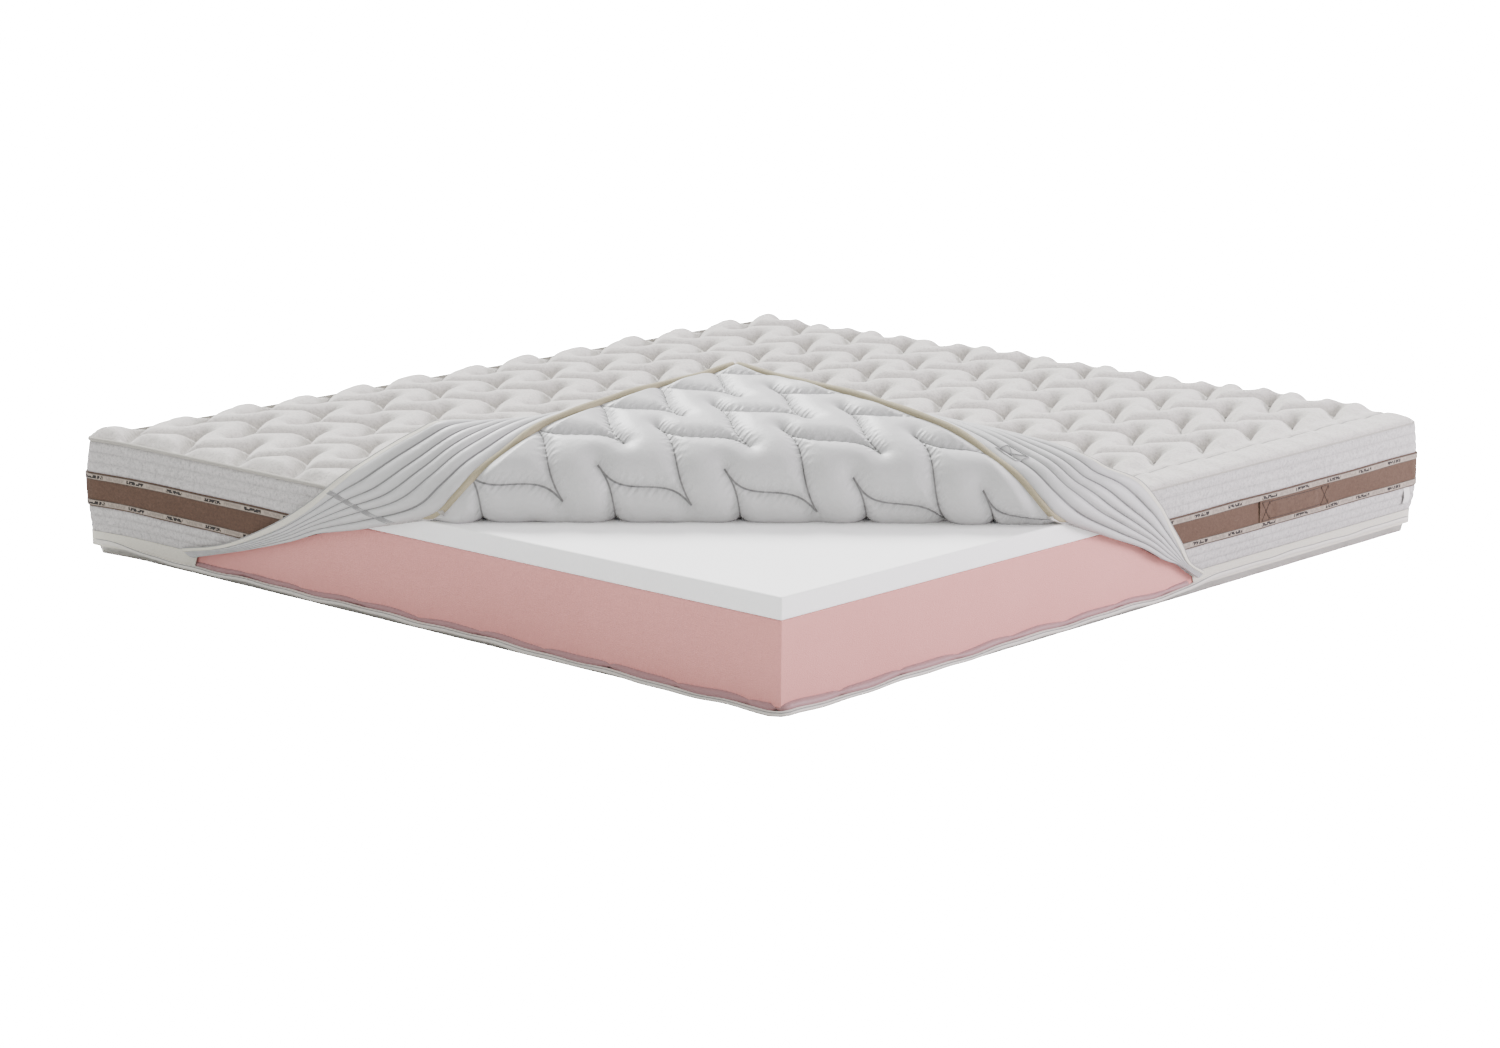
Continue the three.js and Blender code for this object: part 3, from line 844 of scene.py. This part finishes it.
def add_peeled_corner():
    """Roll and flap as one quilt, lining outside: rows along the travel, columns between the bindings."""
    rows, columns = 190, 300
    share = np.linspace(0, 1, rows)
    travel = (-0.012 + (FOLD_DISTANCE - FLAP_TIP + 0.012) * share)[:, None] + np.zeros((1, columns))
    left, right = left_reach(travel), right_reach(travel)
    across = left + (right - left) * np.linspace(0, 1, columns)[None]
    base = peeled(travel, across)
    normal = normals(base)
    x, y = flat_place(travel, across)
    lining = quilt(x, y, LINING_PUFF, 0.042)
    knit = quilt(x, y, 0.6 * KNIT_PUFF)
    from_sides = np.minimum(across - left, right - across) * EDGE_SLANT
    edge = np.minimum(from_sides, FOLD_DISTANCE - FLAP_TIP - travel)
    ease = 0.04 + 0.96 * smooth(edge / 0.026)
    outer = base - normal * (QUILT_CORE * 0.35 + lining * ease)[..., None]
    inner = base + normal * (QUILT_CORE * 0.35 + knit * ease)[..., None]
    piece = add_shell("peeled_quilt_corner", outer, inner, LINING, quilt_marks(x, y), crease=70)
    face_back(piece, rows, columns, [KNIT])
    follow_flap(piece)
    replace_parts(piece, "corner_roll", "corner_flap")


def face_back(piece, rows, columns, materials, choice=1):
    """Give a shell's second face materials of its own: choice is their number, or one for each column."""
    for material in materials:
        piece.data.materials.append(material)
    index = np.zeros(len(piece.data.polygons), np.int32)
    side = (rows - 1) * (columns - 1)
    index[side:2 * side] = np.broadcast_to(choice, (rows - 1, columns - 1)).ravel()
    piece.data.polygons.foreach_set("material_index", index)


def add_flap_bindings():
    """Tapes just outside the peeled corner's two edges, raised a little past the roll."""
    travel = np.linspace(0, FOLD_DISTANCE - 0.001, 120)
    for name, reach, outset in (("left", left_reach, -0.004), ("right", right_reach, 0.004)):
        path = peeled(travel, reach(travel) + outset)
        path[:, 2] += 0.004 * smooth((travel - 0.15) / 0.08)
        swell = 0.0084 + 0.0006 * np.sin(np.linspace(0, 40, len(path)))
        tape = add_tube(f"flap_binding_tape_{name}", path, swell, BINDING, 14, 0.9)
        follow_flap(tape)
        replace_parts(tape, f"flap_binding_{name}")


# ---------------------------------------------------------------- border
LEFT_TURN_UP = np.array([(-0.595, 0.040), (-0.435, 0.082), (-0.311, 0.117), (-0.224, 0.146),
                         (-0.093, 0.176), (0.071, 0.216), (0.13, 0.240)])
RIGHT_TURN_UP = np.array([(-0.30, 0.240), (-0.246, 0.218), (-0.112, 0.172), (0.006, 0.130),
                          (0.082, 0.094), (0.132, 0.076), (0.198, 0.039)])


BORDER_LINES = 3


def border_course(outset):
    """The border's plan course, from the left side round the three closed corners to the right side,
    with its outward directions."""
    x, y = HALF_X - 0.002 + outset, HALF_Y - 0.002 + outset
    radius = CORNER_RADIUS + outset
    parts = [np.array([[LEFT_TURN_UP[-1, 0], -y]]),
             corner_arc(-x + radius, -y + radius, radius, 2)[::-1],
             corner_arc(-x + radius, y - radius, radius, 1)[::-1],
             corner_arc(x - radius, y - radius, radius, 0)[::-1],
             np.array([[x, RIGHT_TURN_UP[0, 0]]])]
    course = loosen(even_steps(np.concatenate(parts), 0.009))
    ahead = unit(np.gradient(course, axis=0))
    out = np.stack([-ahead[:, 1], ahead[:, 0]], -1)
    return course, out


def turned_up(course):
    """The level below which the border is turned up, at each point of its course; none on most of it."""
    level = np.zeros(len(course))
    on_left = (course[:, 1] < -HALF_Y + 0.02) & (course[:, 0] > LEFT_TURN_UP[0, 0])
    on_right = (course[:, 0] > HALF_X - 0.02) & (course[:, 1] < RIGHT_TURN_UP[-1, 0])
    level[on_left] = np.interp(course[on_left, 0], LEFT_TURN_UP[:, 0], LEFT_TURN_UP[:, 1])
    level[on_right] = np.interp(course[on_right, 1], RIGHT_TURN_UP[:, 0], RIGHT_TURN_UP[:, 1])
    return level


def border_swell(run, z):
    """How far the border stands out: a slow belly over its height and long shallow waves along it."""
    tall = (z - STRIP_LOW) / (STRIP_HIGH - STRIP_LOW)
    belly = 0.007 * np.sin(np.pi * np.clip(tall, 0, 1)) ** 0.8
    waves = 0.0016 * np.sin(run * 9.0 + z * 30) + 0.0012 * np.sin(run * 23.0 - z * 55 + 1.0)
    return belly + waves * np.sin(np.pi * np.clip(tall, 0.02, 0.98))


def add_band(name, low, high, outset, thickness, material, relief, rows=15, keep_run=False, lines=0):
    """A strip of the border between two levels, as a closed shell: its outer face follows the swell
    and relief(share, run); where the border is turned up only what is above that fold is left."""
    course, out = border_course(0.0)
    floor_level = turned_up(course)
    run = run_along(course)
    keep = floor_level < high - 0.002
    course, out, floor_level, run = course[keep], out[keep], floor_level[keep], run[keep]
    share = np.linspace(0, 1, rows)
    bottom = np.maximum(low, floor_level)
    z = bottom[:, None] + (high - bottom)[:, None] * share
    true_share = (z - low) / (high - low)
    tuck = smooth((course.sum(1) + 0.1) / 0.4)[:, None] * np.exp(-np.maximum(z - STRIP_LOW, 0) / 0.012)
    swell = border_swell(run[:, None], z) - 0.0040 * tuck
    stand = swell + outset + relief(true_share, run[:, None])
    inner = swell + outset - thickness

    def face(distance):
        plan = course[:, None] + out[:, None] * distance[..., None]
        return np.concatenate([plan, z[..., None]], -1)

    marks = {"channel": true_share * lines + 0.5} if lines else {}
    if keep_run:
        marks = {"run": np.broadcast_to(run[:, None], z.shape), "rise": true_share}
    return add_shell(name, face(stand), face(inner), material, marks, crease=60)


def channels(depth):
    """Relief of BORDER_LINES sewn channels: the size of a sine wave, so each seam is a sharp valley."""
    def relief(share, run):
        wave = np.abs(np.sin(np.pi * BORDER_LINES * share))
        return depth * (wave ** 0.6 - 1) + 0.0004 * np.sin(run * 260 + 3 * np.sin(run * 31)) * wave
    return relief


def slight(share, run):
    """Relief of the plain band: a low belly with short waves."""
    return 0.0012 * np.sin(np.pi * share) + 0.0005 * np.sin(run * 55 + share * 3)


def flat(share, run):
    return 0 * share


def add_border():
    strips = [
        ("lower_border_strip", STRIP_LOW, BAND_LOW, 0.0, BORDER_KNIT, channels(0.0014), 19,
         "border_lower_strip", "border_knit"),
        ("upper_border_strip", BAND_HIGH, STRIP_HIGH, 0.0, BORDER_KNIT, channels(0.0010), 19,
         "border_upper_strip", "border_knit"),
        ("brown_border_band", BAND_LOW, BAND_HIGH, 0.0008, BROWN_KNIT, slight, 13,
         "border_accent_band", "brown_band")]
    for name, low, high, outset, material, relief, rows, stands_for, slot in strips:
        lines = BORDER_LINES if material is BORDER_KNIT else 0
        piece = add_band(name, low, high, outset, 0.0035, material, relief, rows, lines=lines)
        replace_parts(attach(piece, "mattress"), stands_for)
    for name, node_name in (("lower_woven_ribbon", "band_ribbon_lower"),
                            ("upper_woven_ribbon", "band_ribbon_upper")):
        low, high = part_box(node_name)
        piece = add_band(name, low[2], high[2], 0.0026, 0.0012, RIBBON, flat, 5, keep_run=True)
        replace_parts(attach(piece, "mattress"), node_name)
    add_seam_piping()
    piece = add_band("upper_zip_band", ZIP_BAND_LOW, ZIP_BAND_HIGH, 0.001, 0.0015, CREAM_TAPE, flat, 5)
    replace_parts(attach(piece, "mattress"), "upper_zip_tape")


def add_seam_piping():
    """The bound seam between the border and the top, thinner and lower where the flap lies on it."""
    low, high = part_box("top_seam_binding")
    course, out = border_course(0.001)
    keep = turned_up(course) < low[2]
    level = np.full(keep.sum(), (low[2] + high[2]) / 2)
    path = np.column_stack([course[keep] - out[keep] * 0.002, level])
    hidden = smooth((path[:, 0] - HALF_X + 0.04) / 0.03)
    path[:, 2] -= 0.0035 * hidden
    piece = add_tube("top_seam_piping", path, 0.0042 - 0.0028 * hidden, SEAM_BINDING, 10)
    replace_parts(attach(piece, "mattress"), "top_seam_binding")


# ---------------------------------------------------------------- wings of the border
def tuck_under(reach, outset):
    """Where a wing's zip edge ends, just under the bound edge of the flap."""
    travel = np.array([0.45])
    return tuple(peeled(travel, reach(travel) + outset)[0] - [0, 0, 0.014])


def wing_sides(side):
    """Listed stations of one wing: its sewn edge and its zip edge."""
    travels = np.array([0.045, 0.085, 0.125, 0.165, 0.205, 0.25, 0.30, 0.36, 0.45])
    if side == "left":
        low = [(x, -HALF_Y - 0.006, z) for x, z in LEFT_TURN_UP[:-2]]
        sewn = low + [tuple(p) for p in peeled(travels, left_reach(travels) - 0.008)]
        zipped = [(-0.622, -1.004, 0.050), (-0.485, -1.012, 0.083), (-0.345, -1.014, 0.138),
                  (-0.250, -1.014, 0.190), (-0.165, -1.010, 0.250), (-0.117, -1.003, 0.284),
                  (-0.058, -0.970, 0.328), (-0.028, -0.943, 0.351), (-0.009, -0.909, 0.366),
                  (0.001, -0.856, 0.363), (0.006, -0.800, 0.350), (0.020, -0.702, 0.333),
                  (0.075, -0.600, 0.325), tuck_under(left_reach, -0.016)]
    else:
        low = [(HALF_X + 0.006, y, z) for y, z in RIGHT_TURN_UP[::-1][:-2]]
        sewn = low + [tuple(p) for p in peeled(travels, right_reach(travels) + 0.008)]
        zipped = [(0.904, 0.215, 0.045), (0.908, 0.160, 0.075), (0.912, 0.122, 0.115),
                  (0.914, 0.085, 0.155), (0.914, 0.040, 0.205), (0.922, -0.035, 0.262),
                  (0.898, -0.097, 0.291), (0.878, -0.123, 0.310), (0.829, -0.140, 0.325),
                  (0.762, -0.157, 0.338), (0.677, -0.167, 0.345), (0.605, -0.183, 0.347),
                  (0.520, -0.215, 0.335), tuck_under(right_reach, 0.016)]
    return np.array(sewn), np.array(zipped)


def wing_surface(side, steps=260, across=60):
    """A wing as a grid: straight from the sewn edge to the zip edge, bellied along its normal."""
    sewn, zipped = wing_sides(side)
    a = through(sewn, steps)[:, None]
    b = through(zipped, steps)[:, None]
    v = np.linspace(0, 1, across)[None, :, None]
    grid = a + (b - a) * v
    width = np.linalg.norm(b - a, axis=2)[..., None]
    normal = normals(grid)
    if normal[steps // 2, across // 2, 2] < 0:
        normal = -normal
    belly = 0.20 * width * v * (1 - v) * np.exp(-0.5 * v)
    return grid + normal * belly, normal, width[..., 0], v[..., 0]


def add_wing(side):
    """The border turned inside out: lining up, with six sewn channels along it, knit and band below."""
    grid, normal, width, v = wing_surface(side)
    steps, across = grid.shape[:2]
    share = 6 * (v + 0.018 * np.sin(9 * v + 2.0))
    valley = np.abs(np.sin(np.pi * share)) ** 0.55
    u = np.linspace(0, 1, steps)[:, None]
    ripple = 0.0016 * np.sin(17 * u + 3 * v) + 0.0008 * np.sin(39 * u - 5 * v + 1)
    narrow = np.clip(width / 0.19, 0.12, 1)
    lift = 0.0075 * valley * narrow + ripple * narrow
    front = grid + normal * (0.002 + lift)[..., None]
    back = grid - normal * 0.0035
    marks = {"channel": share + 0.5 + 0 * narrow}
    piece = add_shell(f"turned_border_{side}", front, back, LINING, marks, crease=70)
    level = STRIP_HIGH - (STRIP_HIGH - STRIP_LOW) * (v[0, 1:] + v[0, :-1]) / 2
    banded = (level > BAND_LOW) & (level < BAND_HIGH)
    face_back(piece, steps, across, [BORDER_KNIT, BROWN_KNIT], np.where(banded, 2, 1))
    follow_flap(piece)
    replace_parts(piece, f"border_wing_{side}")
    return front


def add_wing_zip(side, front):
    """The tape past the wing's zip edge, and the row of coil teeth along its rim."""
    edge = front[:, -1]
    way = unit(edge - front[:, -4])
    steps = np.linspace(-0.004, 0.009, 5)
    grid = edge[:, None] + way[:, None] * steps[None, :, None]
    normal = normals(grid)
    tape = add_shell(f"turned_zip_tape_{side}", grid + normal * 0.0008, grid - normal * 0.0008,
                     CREAM_TAPE, crease=60)
    follow_flap(tape)
    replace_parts(tape, f"wing_zip_tape_{side}")
    coil = add_tube(f"turned_zip_coil_{side}", edge + way * 0.0092, 0.0016, COIL, 8)
    follow_flap(coil)


def on_grid(grid, rows, columns):
    """Points of a grid surface at fractional row and column numbers."""
    i, j = np.floor(rows).astype(int), np.floor(columns).astype(int)
    fi, fj = (rows - i)[:, None], (columns - j)[:, None]
    near = grid[i, j] * (1 - fj) + grid[i, j + 1] * fj
    return near * (1 - fi) + (grid[i + 1, j] * (1 - fj) + grid[i + 1, j + 1] * fj) * fi


def add_wing_sewing(left, right):
    """The join across the left wing, and the crossed square that holds the handle behind the right."""
    t = np.linspace(0, 1, 60)
    last = left.shape[1] - 2.01
    joins = [on_grid(left, 87 - 15 * t + gap, 0.01 + last * t) for gap in (0.0, 2.2)]
    steps = np.linspace(0.02, 0.98, 44)
    rungs = np.array([0.0, 1.1, 2.2])
    joins += [on_grid(left, 87 - 15 * at + rungs, np.full(3, last * at)) for at in steps]
    joins = [path + [0, 0, 0.0012] for path in joins]
    piece = add_threads("wing_join_sewing", joins, 0.0011, SEWING_THREAD)
    follow_flap(piece)
    corners = [(149, 6), (165, 6), (165, 17), (149, 17), (149, 6)]
    crossed = [corners, [(149, 6), (165, 17)], [(165, 6), (149, 17)]]
    paths = []
    for track in crossed:
        track = even_steps(np.array(track, float), 0.7)
        paths.append(on_grid(right, track[:, 0], track[:, 1]) + [0, 0, 0.0008])
    piece = add_threads("handle_sewing_through_wing", paths, 0.0009, SEWING_THREAD)
    follow_flap(piece)


def add_wings():
    left, right = add_wing("left"), add_wing("right")
    add_wing_zip("left", left)
    add_wing_zip("right", right)
    add_wing_sewing(left, right)


# ---------------------------------------------------------------- bottom of the cover
def lip_state(course):
    """Along the bottom outline: 1 where the zip is open and the lip hangs free, 0 where it is closed."""
    x, y = course[:, 0], course[:, 1]
    front = y < -HALF_Y + 0.05
    side = x > HALF_X - 0.05
    open_front = smooth((x + 0.86) / 0.14)
    open_side = smooth((0.36 - y) / 0.30)
    return np.where(front, open_front, np.where(side, open_side, 0.0))


def tray_edge():
    """What the pieces round the bottom share, point by point: outline and outward directions, how free
    the lip hangs, the lining's puffs, nearness to the opened corner, and the lip's level, distance
    out and radius."""
    outline = loosen(closed_outline(HALF_X - 0.006, HALF_Y - 0.006, CORNER_RADIUS, 0.012, step=0.010))
    ahead = unit(np.roll(outline, -1, 0) - np.roll(outline, 1, 0))
    run = run_along(outline)
    free = lip_state(outline)
    wave = 0.0030 * np.sin(run * 2 * np.pi / 0.31 + 1) + 0.0020 * np.sin(run * 2 * np.pi / 0.137)
    near = smooth(1 - np.hypot(outline[:, 0] - HALF_X, outline[:, 1] + HALF_Y) / 0.9)
    inset = 0.003 * smooth((outline.sum(1) + 0.1) / 0.4) * (1 - free)
    return SimpleNamespace(
        outline=outline, out=np.stack([ahead[:, 1], -ahead[:, 0]], -1), free=free, near=near,
        puffs=np.abs(np.sin(np.pi * run / 0.159)) ** 0.5,
        lip_z=0.0290 - (0.0110 + 0.008 * near) * free + wave * (0.35 + 0.20 * free),
        lip_out=-0.001 - inset + 0.007 * free + 0.25 * wave * free,
        lip_r=0.0072 - 0.0020 * free + 0.0005 * np.sin(run * 21))


def tray_rings(edge):
    """Distances out and levels of the tray's rings: underside quilting, the rolled lip, and the
    valley inside it."""
    rings = []
    for inset, depth in ((0.055, 1.0), (0.03, 0.8), (0.012, 0.25)):
        low = 0.0010 + 0.010 * (1 - edge.puffs) * (depth - 0.2)
        rings.append((-inset, np.maximum(low, 0.0004)))
    for turn in np.radians(np.linspace(-118, 150, 15)):
        level = edge.lip_z + edge.lip_r * np.sin(turn) * 0.95
        rings.append((edge.lip_out + edge.lip_r * np.cos(turn), np.maximum(level, 0.0006)))
    valley = edge.lip_out - 0.010
    sag = edge.free * (1 - edge.puffs)
    rings.append((valley, 0.0175 - 0.006 * sag))
    rings.append((valley - 0.010, 0.0186 - 0.004 * sag))
    rings.append((valley - 0.030, 0.0190))
    return [np.stack([np.broadcast_to(part, edge.free.shape) for part in parts]) for parts in zip(*rings)]


def add_tray(edge):
    out, level = tray_rings(edge)
    plan = edge.outline + edge.out * out[..., None]
    piece = add_rings("quilted_bottom_tray", np.concatenate([plan, level[..., None]], -1), TRAY_LINING)
    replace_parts(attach(piece, "mattress"), "bottom_panel")


def add_lower_teeth(edge):
    """The coil of the lower zip, along the top of the lip."""
    plan = edge.outline + edge.out * (edge.lip_out + 0.75 * edge.lip_r)[:, None]
    path = np.column_stack([plan, edge.lip_z + 0.55 * edge.lip_r])
    coil = add_tube("lower_zip_teeth", path, 0.0011, COIL, 8, closed=True)
    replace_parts(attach(coil, "mattress"), "lower_zip_tape", "zip_coil")


def add_tray_lining(edge):
    """The lining's puffs that show under the foam, where the lip hangs free, painted dark mauve: painted
    shade under the pink foam with its pink bounce light.
    """
    bare = edge.free > 0.6
    order = np.roll(np.arange(len(bare)), -np.argmax(~bare))
    order = order[bare[order]]
    path = np.column_stack([edge.outline - edge.out * 0.0030, edge.lip_z + 0.0070])[order]
    thick = 0.0012 + (0.0062 + 0.0028 * edge.near) * edge.puffs ** 0.5
    inside = add_tube("tray_lining_puffs", path, thick[order], TRAY_LINING_PAINTED_SHADE, 12)
    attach(inside, "mattress")


def add_bottom_panel():
    edge = tray_edge()
    add_tray(edge)
    add_lower_teeth(edge)
    add_tray_lining(edge)


# ---------------------------------------------------------------- handles, label, slider
HANDLE_LONG = 0.25


def add_handle(name, side, middle_y, node_name):
    """A strap sewn flat on the band: plump middle, flat ends, dark thread in a crossed square at each
    end with two lines between, and a dark thread line along one raised end as painted shade."""
    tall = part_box("band_ribbon_upper")[0][2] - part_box("band_ribbon_lower")[1][2] + 0.002
    level = (BAND_LOW + BAND_HIGH) / 2
    stand = HALF_X - 0.002 + border_swell(0.0, np.array(level)) + 0.0018

    def rise(y, z):
        middle = smooth((0.085 - np.abs(y)) / 0.02)
        return 0.0036 + 0.0026 * middle * np.cos(np.pi * np.clip(z / tall, -0.5, 0.5)) ** 0.5

    def face(y, z, height):
        return np.stack([side * (stand + height), middle_y + y, level + z], -1)

    along, up = (np.linspace(-size / 2, size / 2, count) for size, count in ((HANDLE_LONG, 100), (tall, 24)))
    yy, zz = np.meshgrid(along, up, indexing="ij")
    piece = add_shell(name, face(yy, zz, rise(yy, zz)), face(yy, zz, 0 * yy - 0.001), STRAP, crease=60)
    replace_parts(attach(piece, "mattress"), node_name)
    half, deep = 0.0135, 0.0185
    tracks = []
    for centre in (-0.104, 0.104):
        a, b = centre - half, centre + half
        tracks += [[(a, -deep), (b, -deep), (b, deep), (a, deep), (a, -deep)],
                   [(a, -deep), (b, deep)], [(a, deep), (b, -deep)]]
    tracks += [[(-0.088, z), (0.088, z)] for z in (-0.017, 0.017)]
    paths = []
    for track in tracks:
        track = even_steps(np.array(track), 0.006)
        y, z = track.T
        paths.append(face(y, z, rise(y, z) + 0.0002))
    # A dark thread line just past one end of the strap: painted shade beside its raised end.
    edge = np.linspace(-tall / 2, tall / 2, 8)
    paths.append(face(np.full(8, -HANDLE_LONG / 2 - 0.0012), edge, np.full(8, 0.0012)))
    sewing = add_threads(f"{name}_sewing", paths, 0.0008, DARK_THREAD)
    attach(sewing, "mattress")


def add_handles():
    for name, node_name in (("right_rear", "handle_right_rear"), ("left_rear", "handle_left_rear"),
                            ("left_front", "handle_left_front")):
        low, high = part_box(node_name)
        side = 1 if low[0] > 0 else -1
        add_handle(f"carry_handle_{name}", side, (low[1] + high[1]) / 2, node_name)
    grid, normal, *_ = wing_surface("right")
    rows = slice(int(0.46 * len(grid)), int(0.68 * len(grid)))
    patch, way = grid[rows, 22:34], normal[rows, 22:34]
    piece = add_shell("carry_handle_right_front", patch - way * 0.0065, patch - way * 0.0042, STRAP)
    follow_flap(piece)
    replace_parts(piece, "handle_right_front")


def add_label():
    low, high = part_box("care_label")
    v = np.linspace(0, 1, 12)[None]
    u = np.linspace(0, 1, 10)[:, None]
    z = high[2] + 0.002 - (high[2] - low[2]) * v + 0 * u
    y = low[1] + (high[1] - low[1]) * u + 0 * v
    x = HALF_X + 0.004 + 0.004 * np.sin(np.pi * v) * np.cos(1.2 * (u - 0.5)) + 0 * u
    grid = np.stack([x, y, z], -1)
    piece = add_shell("care_label_tag", grid, grid - [0.0006, 0, 0], LABEL_CLOTH)
    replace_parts(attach(piece, "mattress"), "care_label")


def rounded_plate(name, low, high, power, material):
    """A pressed metal piece: a superellipsoid that fills the box between two corners."""
    low, high = np.array(low), np.array(high)
    u = np.linspace(-np.pi / 2, np.pi / 2, 19)[1:-1, None]
    v = np.linspace(0, 2 * np.pi, 40, endpoint=False)[None]

    def bend(value):
        return np.sign(value) * np.abs(value) ** power

    x = bend(np.sin(u)) + 0 * v
    y = bend(np.cos(u)) * bend(np.cos(v))
    z = bend(np.cos(u)) * bend(np.sin(v))
    verts = (low + high) / 2 + np.stack([x, y, z], -1) * (high - low) / 2
    return add_rings(name, verts, material)


def add_slider():
    piece = rounded_plate("zip_slider_body", *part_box("zip_slider"), 0.45, NICKEL)
    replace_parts(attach(piece, "slider"), "zip_slider")
    piece = rounded_plate("zip_pull", *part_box("zip_pull_tab"), 0.40, NICKEL)
    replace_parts(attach(piece, "pull"), "zip_pull_tab")


add_camera()
add_studio()
add_foam_core()
add_top_panel()
add_peeled_corner()
add_flap_bindings()
add_border()
add_wings()
add_bottom_panel()
add_handles()
add_label()
add_slider()
